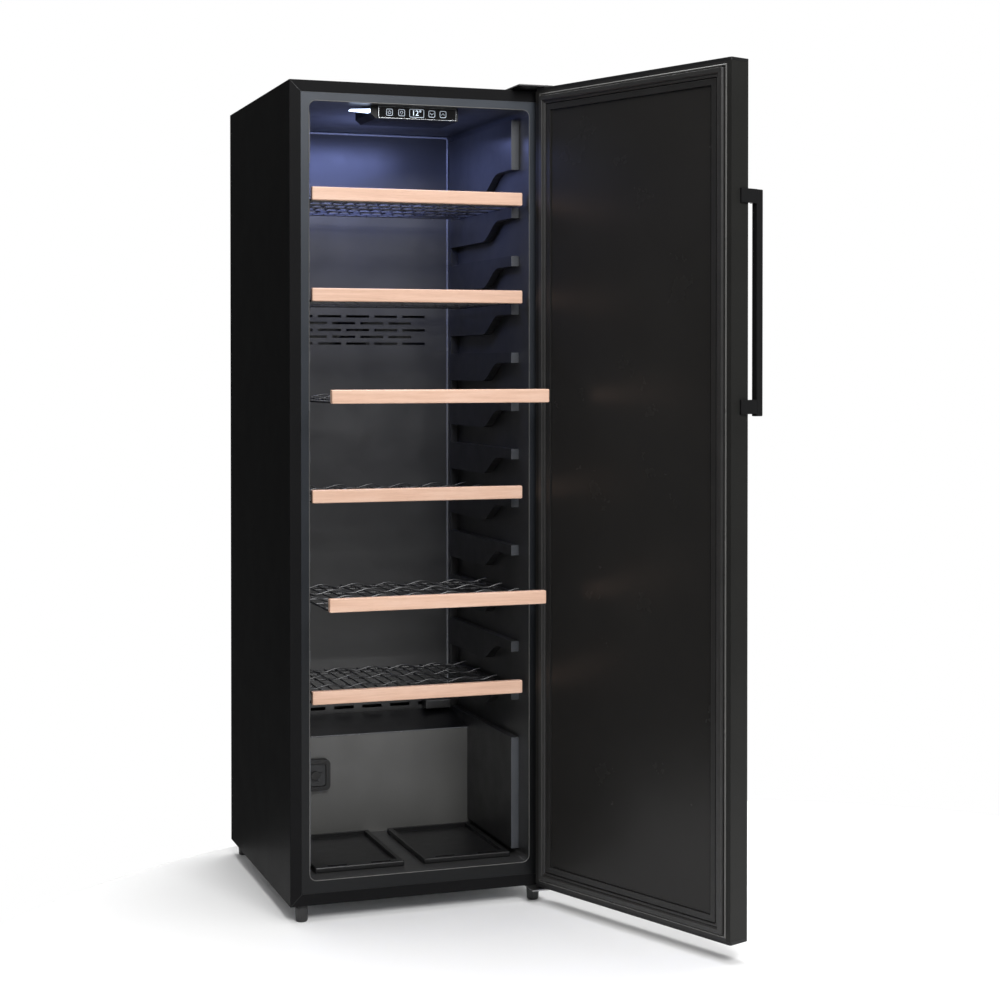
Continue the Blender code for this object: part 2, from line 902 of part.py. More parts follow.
def build_machine():
    y = (MACHINE_Y + SHEET + DEPTH - SHEET) / 2
    floor = MACHINE_PLATE + FIT
    radius = COMPRESSOR_RADIUS
    high = COMPRESSOR_HEIGHT
    profile = [(0.0, 0.0), (0.040, 0.0), (0.055, 0.012)]
    profile += [(radius, 0.030), (radius, 0.072), (radius + 0.003, 0.073)]
    profile += [(radius + 0.003, 0.077), (radius, 0.078)]
    crown = 0.040
    for step in range(5):
        angle = math.pi / 2 * step / 5
        profile.append(
            (radius * math.cos(angle), high - crown + crown * math.sin(angle))
        )
    profile.append((0.0, high))
    compressor = turned(
        CABINET,
        "compressor",
        (COMPRESSOR_X, y, floor),
        profile,
        "Z",
        "compressor_black",
        24,
    )
    feet = block(
        CABINET,
        "compressor_feet",
        (COMPRESSOR_X - 0.085, y - 0.060, floor),
        (COMPRESSOR_X + 0.085, y + 0.060, floor + 0.003),
    )
    add(compressor, feet)
    box = block(
        CABINET,
        "terminal_box",
        (COMPRESSOR_X + radius + 0.004, y - 0.026, floor + 0.030),
        (COMPRESSOR_X + radius + 0.036, y + 0.026, floor + 0.071),
        "cap_plastic",
    )
    soften(box, 0.003)
    tray_low = floor + high + 0.002
    tray = block(
        CABINET,
        "evaporation_tray",
        (COMPRESSOR_X - 0.080, y - 0.070, tray_low),
        (COMPRESSOR_X + 0.080, y + 0.070, tray_low + 0.035),
        "tray_plastic",
    )
    soften(tray, 0.003, 1)
    dish = block(
        CABINET,
        "tray_dish",
        (COMPRESSOR_X - 0.078, y - 0.068, tray_low + 0.002),
        (COMPRESSOR_X + 0.078, y + 0.068, FAR),
    )
    cut(tray, dish)
    path = serpentine(0.330, 0.560, 0.030, 0.205, y + 0.045, 8)
    tube(CABINET, "condenser_coil", path, TUBE_RADIUS, "compressor_black")
    turned(
        CABINET,
        "filter_drier",
        (0.310, y - 0.040, 0.040),
        [
            (0.0, 0.0),
            (0.003, 0.0),
            (0.003, 0.010),
            (0.0105, 0.022),
            (0.0105, 0.108),
            (0.003, 0.120),
            (0.003, 0.130),
            (0.0, 0.130),
        ],
        "Z",
        "copper",
        16,
    )


# ---------------------------------------------------------------- feet


def build_feet():
    places = {
        "foot_front_left": (FOOT_INSET_X, FOOT_INSET_Y),
        "foot_front_right": (WIDTH - FOOT_INSET_X, FOOT_INSET_Y),
        "foot_rear_left": (FOOT_INSET_X, DEPTH - FOOT_INSET_Y),
        "foot_rear_right": (WIDTH - FOOT_INSET_X, DEPTH - FOOT_INSET_Y),
    }
    profile = [
        (0.0, -FOOT_HEIGHT),
        (FOOT_RADIUS - 0.0025, -FOOT_HEIGHT),
        (FOOT_RADIUS - 0.0015, -FOOT_HEIGHT + 0.0015),
        (FOOT_RADIUS - 0.0010, -0.016),
        (FOOT_RADIUS, -0.015),
        (FOOT_RADIUS, -FOOT_COLLAR),
        (STUD_RADIUS, -FOOT_COLLAR),
        (STUD_RADIUS, STUD_RISE),
        (0.0, STUD_RISE),
    ]
    for name, (x, y) in places.items():
        body = Body(name + "_axis", (x, y, 0.0), CABINET)
        turned(body, name, (x, y, 0.0), profile, "Z", "foot_plastic", 18)


# ---------------------------------------------------------------- hinges


def build_hinges():
    right = WIDTH - 0.003
    left = right - HINGE_WIDTH
    under = HEIGHT + FIT
    raised = HEIGHT + HINGE_CRANK
    outline = [
        (PIN.y - HINGE_REACH, raised),
        (0.006, raised),
        (0.010, under),
        (HINGE_BACK, under),
        (HINGE_BACK, under + HINGE_PLATE),
        (0.012, under + HINGE_PLATE),
        (0.008, raised + HINGE_PLATE),
        (PIN.y - HINGE_REACH, raised + HINGE_PLATE),
    ]
    plate = flat(CABINET, "upper_hinge", [outline], left, right, "X", "zinc_steel")
    pin_low = DOOR_HIGH - PIN_LENGTH
    pin = round_bar(
        CABINET,
        "upper_pin",
        (PIN.x, PIN.y, pin_low),
        PIN_RADIUS,
        raised + HINGE_PLATE / 2 - pin_low,
    )
    add(plate, pin)
    cover = block(
        CABINET,
        "upper_hinge_cover",
        (left - COVER_SIDE, PIN.y - HINGE_REACH - COVER_WALL - FIT, under),
        (WIDTH - FIT, HINGE_BACK + COVER_WALL + FIT, HEIGHT + COVER_HIGH),
        "cap_plastic",
    )
    soften(cover, 0.0035, 3)
    hollow = block(
        CABINET,
        "cover_hollow",
        (left - COVER_SIDE + COVER_WALL, PIN.y - HINGE_REACH - FIT, LOW),
        (right + FIT, HINGE_BACK + FIT, HEIGHT + COVER_HIGH - COVER_WALL),
    )
    over_door = block(
        CABINET,
        "cover_over_door",
        (LOW, LOW, LOW),
        (FAR, 0.0, raised),
    )
    cut(cover, hollow, over_door)
    lower = block(
        CABINET,
        "lower_hinge",
        (left + 0.022, PIN.y - HINGE_REACH, -FIT - HINGE_PLATE),
        (right, HINGE_BACK, -FIT),
        "zinc_steel",
    )
    lower_pin = round_bar(
        CABINET,
        "lower_pin",
        (PIN.x, PIN.y, -FIT - HINGE_PLATE / 2),
        PIN_RADIUS,
        DOOR_LOW + PIN_LENGTH + FIT + HINGE_PLATE / 2,
    )
    add(lower, lower_pin)
    cut(lower, stud_hole(WIDTH - FOOT_INSET_X, FOOT_INSET_Y))


# ---------------------------------------------------------------- door

DOOR = Body("door_pivot", PIN, CABINET)
DOOR.empty.rotation_euler = (0.0, 0.0, math.radians(DOOR_OPEN))


def skin_outline():
    """The door's steel skin from above: a front, two rounded sides and two lips."""
    outer = rounded((0.0, DOOR_FACE), (WIDTH, DOOR_FACE + 4 * DOOR_ROUND), DOOR_ROUND)
    quarter = len(outer) // 4
    inner_round = DOOR_ROUND - SHEET
    inner = rounded(
        (SHEET, DOOR_FACE + SHEET),
        (WIDTH - SHEET, DOOR_FACE + 4 * DOOR_ROUND),
        inner_round,
    )
    front_left = outer[2 * quarter : 3 * quarter]
    front_right = outer[3 * quarter :]
    inside_left = list(reversed(inner[2 * quarter : 3 * quarter]))
    inside_right = list(reversed(inner[3 * quarter :]))
    lip = DOOR_BACK - SHEET
    return (
        [(DOOR_LIP, DOOR_BACK), (0.0, DOOR_BACK)]
        + front_left
        + front_right
        + [(WIDTH, DOOR_BACK), (WIDTH - DOOR_LIP, DOOR_BACK)]
        + [(WIDTH - DOOR_LIP, lip), (WIDTH - SHEET, lip)]
        + inside_right
        + inside_left
        + [(SHEET, lip), (DOOR_LIP, lip)]
    )


def build_door():
    low = DOOR_LOW + DOOR_CAP + FIT
    high = DOOR_HIGH - DOOR_CAP - FIT
    flat(DOOR, "door_skin", [skin_outline()], low, high, "Z", "door_steel")
    foam = block(
        DOOR,
        "door_foam",
        (SHEET + FIT, DOOR_FACE + SHEET + FIT, low),
        (WIDTH - SHEET - FIT, DOOR_BACK - DOOR_LINER - 2 * FIT, high),
        "foam",
    )
    soften(foam, DOOR_ROUND - SHEET)
    liner = block(
        DOOR,
        "door_liner",
        (DOOR_LIP + FIT, DOOR_BACK - DOOR_LINER, low),
        (WIDTH - DOOR_LIP - FIT, DOOR_BACK, high),
        "door_panel",
    )
    outer = DOOR_BORDER - DOOR_RIDGE
    ridge = block(
        DOOR,
        "door_ridge",
        (outer, DOOR_BACK - DOOR_LINER / 2, DOOR_LOW + outer),
        (WIDTH - outer, DOOR_BACK + DOOR_RIDGE_RISE, DOOR_HIGH - outer),
    )
    soften(ridge, 0.0011)
    panel = block(
        DOOR,
        "door_inner_panel",
        (DOOR_BORDER, DOOR_BACK, DOOR_LOW + DOOR_BORDER),
        (WIDTH - DOOR_BORDER, FAR, DOOR_HIGH - DOOR_BORDER),
    )
    add(liner, ridge)
    cut(liner, panel)
    gasket = block(
        DOOR,
        "door_gasket",
        (GASKET_IN, DOOR_BACK + FIT, DOOR_LOW + GASKET_IN),
        (WIDTH - GASKET_IN, -GASKET_REST, DOOR_HIGH - GASKET_IN),
        "gasket_rubber",
    )
    soften(gasket, 0.0025)
    inside = GASKET_IN + GASKET_WIDTH
    gasket_hole = block(
        DOOR,
        "gasket_hole",
        (inside, LOW, DOOR_LOW + inside),
        (WIDTH - inside, FAR, DOOR_HIGH - inside),
    )
    cut(gasket, gasket_hole)
    bush_radius = PIN_RADIUS + PIN_PLAY + BUSH_WALL
    caps = {
        "door_bottom_cap": (DOOR_LOW, DOOR_LOW + DOOR_CAP),
        "door_top_cap": (DOOR_HIGH - DOOR_CAP, DOOR_HIGH),
    }
    for name, (cap_low, cap_high) in caps.items():
        outline = rounded((0.0, DOOR_FACE), (WIDTH, DOOR_BACK), DOOR_ROUND)
        cap = flat(DOOR, name, [outline], cap_low, cap_high, "Z", "cap_plastic")
        hole = round_bar(
            DOOR, name + "_hole", (PIN.x, PIN.y, LOW), bush_radius + FIT, 2 * FAR
        )
        cut(cap, hole)
    bushes = {
        "hinge_bush_lower": DOOR_LOW,
        "hinge_bush_upper": DOOR_HIGH - PIN_LENGTH - 0.003,
    }
    bush_length = PIN_LENGTH + 0.003
    for name, bush_low in bushes.items():
        bush = round_bar(
            DOOR, name, (PIN.x, PIN.y, bush_low), bush_radius, bush_length, slot="acetal"
        )
        bore = round_bar(
            DOOR, name + "_bore", (PIN.x, PIN.y, LOW), PIN_RADIUS + PIN_PLAY, 2 * FAR
        )
        cut(bush, bore)
        pocket_low = bush_low - FIT
        pocket = round_bar(
            DOOR,
            name + "_pocket",
            (PIN.x, PIN.y, pocket_low),
            bush_radius + FIT,
            bush_length + 2 * FIT,
        )
        cut(foam, pocket)


def build_handle():
    bar_near = DOOR_FACE - HANDLE_STANDOFF
    bar_left = -BRACKET_PLATE - FIT
    bar = block(
        DOOR,
        "handle_bar",
        (bar_left, bar_near - HANDLE_BAR_Y, HANDLE_LOW),
        (bar_left + HANDLE_BAR_X, bar_near, HANDLE_LOW + HANDLE_LENGTH),
        "handle_black",
    )
    soften(bar, 0.002, 2)
    spans = {
        "handle_bracket_lower": HANDLE_LOW + 0.005,
        "handle_bracket_upper": HANDLE_LOW + HANDLE_LENGTH - BRACKET_HEIGHT,
    }
    for name, low in spans.items():
        grip = (
            (bar_left, bar_near + FIT),
            (-FIT, bar_near + FIT),
            (-FIT, DOOR_FACE + BRACKET_GRIP),
            (bar_left, DOOR_FACE + BRACKET_GRIP),
        )
        lug = [
            (bar_left + HANDLE_BAR_X, bar_near + FIT),
            (bar_left + HANDLE_BAR_X, bar_near + 0.006),
            (-FIT + 0.002, bar_near + 0.012),
            (-FIT, bar_near + 0.014),
        ]
        outline = [grip[0]] + lug + [grip[2], grip[3]]
        flat(DOOR, name, [outline], low, low + BRACKET_HEIGHT, "Z", "handle_black")


# ---------------------------------------------------------------- shelves


def rack_loops(left, right, front, back):
    """A grid of wires seen from above: its outside and the holes between its wires."""
    loops = [rectangle((left, front), (right, back))]
    columns = RACK_BARS + 1
    rows = RACK_CROSSES + 1
    wide = (right - left - (columns + 1) * WIRE) / columns
    deep = (back - front - (rows + 1) * WIRE) / rows
    for column in range(columns):
        for row in range(rows):
            x = left + WIRE + column * (wide + WIRE)
            y = front + WIRE + row * (deep + WIRE)
            loops.append(rectangle((x, y), (x + wide, y + deep)))
    return loops


def build_shelves():
    left = MIDDLE - FRONT_LENGTH / 2
    right = MIDDLE + FRONT_LENGTH / 2
    front = FRONT_Y + FRONT_THICK + FIT
    back = RAIL_BACK - CHANNEL_END - 2 * FIT - SHELF_SPARE
    for index in range(SHELVES):
        number = SHELVES - index
        low = FIRST_SHELF_Z + index * SHELF_PITCH
        body = Body(f"shelf_slide_{number}", (0.0, 0.0, low), CABINET)
        body.empty.location.y -= PULLED.get(index, 0.0)
        strip = block(
            body,
            f"shelf_front_{number}",
            (left, FRONT_Y, low + FIT),
            (right, FRONT_Y + FRONT_THICK, low + FRONT_HEIGHT),
            "beech",
        )
        soften(strip, 0.0025, 3)
        flat(
            body,
            f"shelf_rack_{number}",
            rack_loops(left, right, front, back),
            low + FIT,
            low + FIT + WIRE,
            "Z",
            "wire_black",
        )


build_shell()
build_liner()
build_foam()
build_base()
build_machine_cover()
build_rails()
build_duct()
build_fan()
build_controls()
build_filter()
build_trays()
build_machine()
build_feet()
build_hinges()
build_door()
build_handle()
build_shelves()


def centre_on_floor():
    """Move the whole cooler so that its box stands on the origin, at its middle."""
    bpy.context.view_layer.update()
    graph = bpy.context.evaluated_depsgraph_get()
    low = [FAR] * 3
    high = [LOW] * 3
    for item in PIECES.objects:
        if item.type != "MESH":
            continue
        real = item.evaluated_get(graph)
        for vert in real.data.vertices:
            point = real.matrix_world @ vert.co
            for axis in range(3):
                low[axis] = min(low[axis], point[axis])
                high[axis] = max(high[axis], point[axis])
    CABINET.empty.location = (
        -(low[0] + high[0]) / 2,
        -(low[1] + high[1]) / 2,
        -low[2],
    )


centre_on_floor()
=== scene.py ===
import json
import math

import bmesh
import bpy
from mathutils import Matrix, Vector


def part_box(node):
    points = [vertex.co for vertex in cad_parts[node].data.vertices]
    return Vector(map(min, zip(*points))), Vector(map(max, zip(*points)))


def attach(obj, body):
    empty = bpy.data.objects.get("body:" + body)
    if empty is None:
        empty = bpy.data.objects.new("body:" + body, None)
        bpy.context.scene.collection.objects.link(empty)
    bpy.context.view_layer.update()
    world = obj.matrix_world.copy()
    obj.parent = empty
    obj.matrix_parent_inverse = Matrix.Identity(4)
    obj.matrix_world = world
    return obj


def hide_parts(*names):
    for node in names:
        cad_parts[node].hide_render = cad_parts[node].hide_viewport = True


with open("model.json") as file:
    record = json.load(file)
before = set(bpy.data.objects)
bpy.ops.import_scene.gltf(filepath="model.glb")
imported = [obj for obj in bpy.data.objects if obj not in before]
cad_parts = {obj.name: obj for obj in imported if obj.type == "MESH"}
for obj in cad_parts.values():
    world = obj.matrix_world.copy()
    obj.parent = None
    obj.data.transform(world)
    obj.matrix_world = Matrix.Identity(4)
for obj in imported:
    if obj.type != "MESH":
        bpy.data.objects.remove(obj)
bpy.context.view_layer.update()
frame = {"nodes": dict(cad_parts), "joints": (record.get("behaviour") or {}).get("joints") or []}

SCENE = bpy.context.scene
SHELL_LOW, SHELL_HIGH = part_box("outer_shell")
WIDTH = SHELL_HIGH.x - SHELL_LOW.x
HEIGHT = SHELL_HIGH.z - SHELL_LOW.z

# Sizes that no box in the frame gives, in metres.
FLANGE = 0.025  # the shell's folded front frame
OPENING = 0.044  # from the shell's side or top to the liner's mouth
SILL = 0.029  # from the folded frame up to the mouth's lower edge
STEP_DEPTH = 0.389  # from the shell's front to the step over the machine space
STEP_HEIGHT = 0.292  # from the shell's bottom to that step's front edge
DOOR_GAP = 0.010  # between the closed door and the shell, filled by the seal
DOOR_LOW = 0.004  # the door's lower edge, over the shell's
DOOR_HIGH = HEIGHT + 0.002


def corner(x, y, z):
    """A point measured from the shell's lowest left front corner."""
    return SHELL_LOW + Vector((x, y, z))


STEP_FRONT = corner(0.0, STEP_DEPTH, 0.0).y
STEP_EDGE = corner(0.0, 0.0, STEP_HEIGHT).z
STEP_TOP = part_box("air_duct_cover")[0].z

HINGE = next(item for item in frame["joints"] if item["name"] == "door_hinge")
PIVOT = Vector(HINGE["pos_m"])
DOOR_OPEN = -math.radians(HINGE["range_deg"][0])
CABINET_PLACE = Matrix.Translation(SHELL_LOW)
# The trim is drawn on the closed door, then swung to where the door rests.
DOOR_PLACE = (
    Matrix.Translation(PIVOT) @ Matrix.Rotation(DOOR_OPEN, 4, "Z")
    @ Matrix.Translation(-PIVOT) @ CABINET_PLACE
)


# ------------------------------------------------------------------ shading kit

# Which sockets of a mix node hold its colours.
MIX_FIRST, MIX_SECOND, MIX_RESULT = 6, 7, 2


def link(made, source, target):
    made.node_tree.links.new(source, target)


def node(made, kind, **inputs):
    """A new node, with its constant inputs."""
    item = made.node_tree.nodes.new(kind)
    for key, value in inputs.items():
        item.inputs[key.replace("_", " ")].default_value = value
    return item


def shader_input(made, name):
    return made.node_tree.nodes["Principled BSDF"].inputs[name]


def set_in(made, name, source):
    link(made, source, shader_input(made, name))


def base_colour(made):
    """What feeds the shader's colour so far."""
    return shader_input(made, "Base Color").links[0].from_socket


def new_material(name, colour, rough, metal=0.0, coat=0.0, coat_rough=0.08, specular=0.5):
    made = bpy.data.materials.new(name)
    made.use_nodes = True
    constants = {
        "Base Color": (*colour, 1.0), "Roughness": rough, "Metallic": metal,
        "Coat Weight": coat, "Coat Roughness": coat_rough, "Specular IOR Level": specular,
    }
    for key, value in constants.items():
        shader_input(made, key).default_value = value
    return made


def coords(made, stretch=(1, 1, 1)):
    """Object coordinates, in metres, stretched."""
    scale = node(made, "ShaderNodeMapping", Scale=stretch)
    link(made, node(made, "ShaderNodeTexCoord").outputs["Object"], scale.inputs["Vector"])
    return scale.outputs["Vector"]


def along(made, axis):
    """The place along one axis, in metres."""
    split = node(made, "ShaderNodeSeparateXYZ")
    link(made, node(made, "ShaderNodeTexCoord").outputs["Object"], split.inputs["Vector"])
    return split.outputs[axis]


def noise(made, scale, detail=3.0, rough=0.5, stretch=(1, 1, 1)):
    item = node(made, "ShaderNodeTexNoise", Scale=scale, Detail=detail, Roughness=rough)
    link(made, coords(made, stretch), item.inputs["Vector"])
    return item.outputs["Fac"]


def ramp(made, source, stops):
    """Colours along a factor."""
    item = node(made, "ShaderNodeValToRGB")
    elements = item.color_ramp.elements
    while len(elements) < len(stops):
        elements.new(0.5)
    for element, (place, colour) in zip(elements, stops):
        element.position = place
        element.color = (*colour, 1.0)
    link(made, source, item.inputs["Fac"])
    return item.outputs["Color"]


def tones(made, source, dark, light):
    """From a darker to a lighter colour over the middle of a noise."""
    return ramp(made, source, [(0.3, dark), (0.7, light)])


def remap(made, source, low, high, from_low=0.0, from_high=1.0):
    item = node(made, "ShaderNodeMapRange", From_Min=from_low, From_Max=from_high,
                To_Min=low, To_Max=high)
    link(made, source, item.inputs["Value"])
    return item.outputs["Result"]


def rises(made, axis, start, stop):
    """A mask from 0 to 1 between two places along an axis."""
    return remap(made, along(made, axis), 0.0, 1.0, start, stop)


def falls(made, axis, start, stop):
    """A mask from 1 to 0 between two places along an axis."""
    return remap(made, along(made, axis), 1.0, 0.0, start, stop)


def maths(made, operation, first, second):
    item = node(made, "ShaderNodeMath")
    item.operation = operation
    link(made, first, item.inputs[0])
    link(made, second, item.inputs[1])
    return item.outputs["Value"]


def blend(made, factor, first, second, way="MIX"):
    """Two colours mixed by a mask, or by one number."""
    item = node(made, "ShaderNodeMix")
    item.data_type = "RGBA"
    item.blend_type = way
    if isinstance(factor, float):
        item.inputs["Factor"].default_value = factor
    else:
        link(made, factor, item.inputs["Factor"])
    link(made, first, item.inputs[MIX_FIRST])
    link(made, second, item.inputs[MIX_SECOND])
    return item.outputs[MIX_RESULT]


def bump(made, height, strength, distance):
    """Relief, over any relief that is there already."""
    normal = shader_input(made, "Normal")
    item = node(made, "ShaderNodeBump", Strength=strength, Distance=distance)
    if normal.is_linked:
        link(made, normal.links[0].from_socket, item.inputs["Normal"])
    link(made, height, item.inputs["Height"])
    link(made, item.outputs["Normal"], normal)


# ------------------------------------------------------------------ looks


def textured(name, colour, rough, metal=0.0, spread=0.12, scale=9.0, grain=900.0,
             grain_strength=0.15, rough_spread=0.05, **more):
    """Paint, plastic or rubber: cloudy colour and gloss, and a fine surface grain."""
    made = new_material(name, colour, rough, metal, **more)
    dark = [part * (1 - spread) for part in colour]
    light = [part * (1 + spread) for part in colour]
    set_in(made, "Base Color", tones(made, noise(made, scale, 4.0), dark, light))
    smear = noise(made, scale * 2.3, 5.0, 0.6)
    set_in(made, "Roughness", remap(made, smear, rough - rough_spread, rough + rough_spread, 0.3, 0.7))
    if grain:
        bump(made, noise(made, grain, 2.0), grain_strength, 0.0002)
    return made


def black_paint(name, colour, rough, **more):
    """Powder coat with a fine orange peel."""
    made = textured(name, colour, rough, spread=0.08, scale=5.0, grain=1400.0,
                    grain_strength=0.12, rough_spread=0.015, **more)
    bump(made, noise(made, 260.0, 1.0), 0.05, 0.0003)
    return made


def shell_paint(name):
    """Cabinet paint: black, with the front face of the folded frame painted a little paler, as painted
    light where the front lamps fall on it.
    """
    made = black_paint(name, (0.0044, 0.0044, 0.0047), 0.45, specular=0.03)
    # Painted light: the front-facing face gets a paler black than the sides, for the light it catches
    # from the front.
    front_face_painted_light = falls(made, "Y", SHELL_LOW.y + 0.0002, SHELL_LOW.y + 0.0010)
    pale = tones(made, noise(made, 5.0), (0.0086, 0.0086, 0.0090), (0.0100, 0.0100, 0.0105))
    set_in(made, "Base Color", blend(made, front_face_painted_light, base_colour(made), pale))
    return made


def wood(name):
    """Beech: straight grain along X, fine pores and a clear lacquer."""
    made = new_material(name, (0.74, 0.48, 0.36), 0.42, coat=0.10, coat_rough=0.25)
    rings = noise(made, 1.0, 6.0, 0.6, (7.0, 60.0, 150.0))
    fine = noise(made, 1.0, 3.0, 0.7, (40.0, 900.0, 1300.0))
    base = ramp(made, rings, [(0.25, (0.640, 0.400, 0.285)), (0.5, (0.735, 0.480, 0.355)),
                              (0.75, (0.790, 0.550, 0.430))])
    pores = ramp(made, fine, [(0.30, (0.66, 0.50, 0.40)), (0.48, (1.0, 1.0, 1.0))])
    set_in(made, "Base Color", blend(made, 0.35, base, pores, "MULTIPLY"))
    set_in(made, "Roughness", remap(made, rings, 0.36, 0.50))
    bump(made, fine, 0.10, 0.0002)
    return made


def glow(name, colour, strength):
    made = new_material(name, colour, 0.3)
    shader_input(made, "Emission Color").default_value = (*colour, 1.0)
    shader_input(made, "Emission Strength").default_value = strength
    return made


def speckled_zinc(name):
    """Galvanised sheet: flat crystals of slightly different greys."""
    made = new_material(name, (0.42, 0.43, 0.44), 0.40, 1.0)
    cells = node(made, "ShaderNodeTexVoronoi", Scale=130.0)
    link(made, coords(made), cells.inputs["Vector"])
    grey = node(made, "ShaderNodeRGBToBW")
    link(made, cells.outputs["Color"], grey.inputs["Color"])
    shade = [(0.2, (0.40, 0.41, 0.42)), (0.8, (0.46, 0.47, 0.48))]
    set_in(made, "Base Color", ramp(made, grey.outputs["Val"], shade))
    set_in(made, "Roughness", remap(made, grey.outputs["Val"], 0.40, 0.46))
    bump(made, noise(made, 500.0, 2.0), 0.08, 0.0002)
    return made


def liner_paint(name):
    """Liner: glossy inside and duller on the rim round the mouth, with painted light on the rim and
    painted reflection and painted shadow on the step.
    """
    made = textured(name, (0.032, 0.032, 0.032), 0.33, spread=0.10, scale=6.0, grain=1100.0,
                    grain_strength=0.10)
    inside = base_colour(made)
    cloud = noise(made, 8.0)
    # Painted light: the rim's front face gets a pale colour, paler at its top and dim low down,
    # standing in for the light that falls on it from above.
    rim = falls(made, "Y", SHELL_LOW.y + 0.0040, SHELL_LOW.y + 0.0065)
    tall = rises(made, "Z", SHELL_LOW.z + 0.3, SHELL_HIGH.z - 0.1)
    dim = tones(made, cloud, (0.0065, 0.0070, 0.0075), (0.0080, 0.0085, 0.0092))
    bright = tones(made, cloud, (0.043, 0.049, 0.059), (0.050, 0.057, 0.069))
    rim_painted_light = blend(made, tall, dim, bright)
    # The step over the machine space: its face is painted pale as a painted reflection of the bright
    # floor, and the sloping top above it is painted dark as painted shadow under the lowest shelf.
    behind = rises(made, "Y", STEP_FRONT - 0.0030, STEP_FRONT - 0.0010)
    under = falls(made, "Z", STEP_EDGE - 0.0005, STEP_EDGE + 0.0005)
    below = falls(made, "Z", STEP_TOP, STEP_TOP + 0.0010)
    face = tones(made, cloud, (0.108, 0.108, 0.103), (0.124, 0.124, 0.119))
    slope_painted_shade = tones(made, cloud, (0.0040, 0.0040, 0.0042), (0.0050, 0.0050, 0.0053))
    step = blend(made, under, slope_painted_shade, face)
    inside = blend(made, maths(made, "MULTIPLY", behind, below), inside, step)
    set_in(made, "Base Color", blend(made, rim, inside, rim_painted_light))
    set_in(made, "Specular IOR Level", remap(made, rim, 0.85, 0.20))
    return made


def rail_paint(name):
    """Shelf rails: as the liner, with the front faces of the uprights painted paler, as painted light
    they catch from the front.
    """
    made = textured(name, (0.024, 0.024, 0.024), 0.36, spread=0.10, scale=8.0, grain=1100.0,
                    grain_strength=0.10, specular=0.6)
    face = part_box("shelf_rails_right")[0].y
    # Painted light: the uprights' front faces get a paler colour for the light falling on them from
    # the front.
    front = falls(made, "Y", face + 0.0010, face + 0.0025)
    pale = tones(made, noise(made, 8.0), (0.052, 0.056, 0.064), (0.062, 0.067, 0.076))
    set_in(made, "Base Color", blend(made, front, base_colour(made), pale))
    return made


M = {}
M["shell"] = shell_paint("shell_paint")
M["door"] = black_paint("door_paint", (0.0165, 0.0165, 0.0155), 0.40, specular=0.14)
M["liner"] = liner_paint("liner_plastic")
M["rail"] = rail_paint("rail_plastic")
# Painted highlight: the beads round the duct and the step are coloured far paler than the liner they
# are moulded with, to show the light line along them.
M["rib"] = textured("liner_bead_painted_highlight", (0.190, 0.196, 0.205), 0.25, spread=0.08, scale=12.0,
                    grain=1300.0, grain_strength=0.05, specular=0.8)
M["border"] = textured("door_border", (0.016, 0.0156, 0.0152), 0.40, spread=0.12, scale=12.0,
                       grain=1300.0, grain_strength=0.10, specular=0.35)
# Painted highlight: the door's liner bead and the mouth's rolled edge are coloured paler than the
# plastic around them, for the light they catch.
M["bead"] = textured("liner_bead", (0.105, 0.104, 0.100), 0.30, spread=0.08, scale=12.0,
                     grain=1300.0, grain_strength=0.08)
M["panel"] = textured("door_inner_panel", (0.0165, 0.0158, 0.0150), 0.26, spread=0.10, scale=3.0,
                      grain=700.0, grain_strength=0.04, rough_spread=0.02, specular=0.20)
M["gasket"] = textured("gasket_rubber", (0.020, 0.0195, 0.019), 0.42, spread=0.12, scale=30.0,
                       grain=2200.0, grain_strength=0.25)
M["cap"] = textured("black_moulding", (0.009, 0.009, 0.0095), 0.46, scale=14.0, grain=1500.0,
                    specular=0.3)
M["wood"] = wood("beech")
M["wire"] = textured("wire_coating", (0.014, 0.014, 0.016), 0.30, scale=25.0, grain=1800.0)
M["gloss"] = textured("black_glass", (0.004, 0.004, 0.0045), 0.07, spread=0.2, scale=10.0,
                      grain=0, rough_spread=0.02, coat=0.5, coat_rough=0.03)
M["key"] = textured("key_cap", (0.006, 0.006, 0.007), 0.12, spread=0.2, scale=40.0, grain=2000.0,
                    grain_strength=0.04)
M["print"] = glow("light_print", (0.62, 0.70, 0.80), 0.42)
M["digit"] = glow("lit_digits", (0.75, 0.86, 1.0), 0.9)
M["chrome"] = textured("bright_trim", (0.62, 0.64, 0.66), 0.22, 1.0, spread=0.06, scale=60.0,
                       grain=1500.0, grain_strength=0.05)
M["lamp"] = glow("lamp_clear", (0.62, 0.75, 1.0), 3.0)
M["filter"] = textured("filter_moulding", (0.0050, 0.0050, 0.0055), 0.32, scale=30.0)
M["insert"] = textured("filter_insert", (0.055, 0.057, 0.060), 0.50, scale=30.0)
M["handle"] = black_paint("handle_paint", (0.0060, 0.0060, 0.0064), 0.34, specular=0.35)
M["zinc"] = textured("zinc_plate", (0.42, 0.42, 0.43), 0.34, 1.0, scale=30.0)
M["galvanised"] = speckled_zinc("galvanised_sheet")
M["acetal"] = textured("acetal", (0.70, 0.70, 0.67), 0.42, scale=30.0)
M["enamel"] = black_paint("machine_enamel", (0.012, 0.012, 0.012), 0.40)
M["copper"] = textured("copper_tube", (0.78, 0.40, 0.24), 0.32, 1.0, scale=40.0)
M["aluminium"] = textured("aluminium_tube", (0.72, 0.73, 0.74), 0.34, 1.0, scale=40.0)
M["tray"] = textured("tray_moulding", (0.0075, 0.0075, 0.0080), 0.30, scale=20.0, grain=1400.0,
                     grain_strength=0.05, rough_spread=0.02)
M["foot"] = textured("foot_moulding", (0.020, 0.020, 0.021), 0.45, scale=40.0)
M["foam"] = textured("rigid_foam", (0.72, 0.62, 0.36), 0.85, spread=0.10, scale=40.0, grain=500.0,
                     grain_strength=0.5)

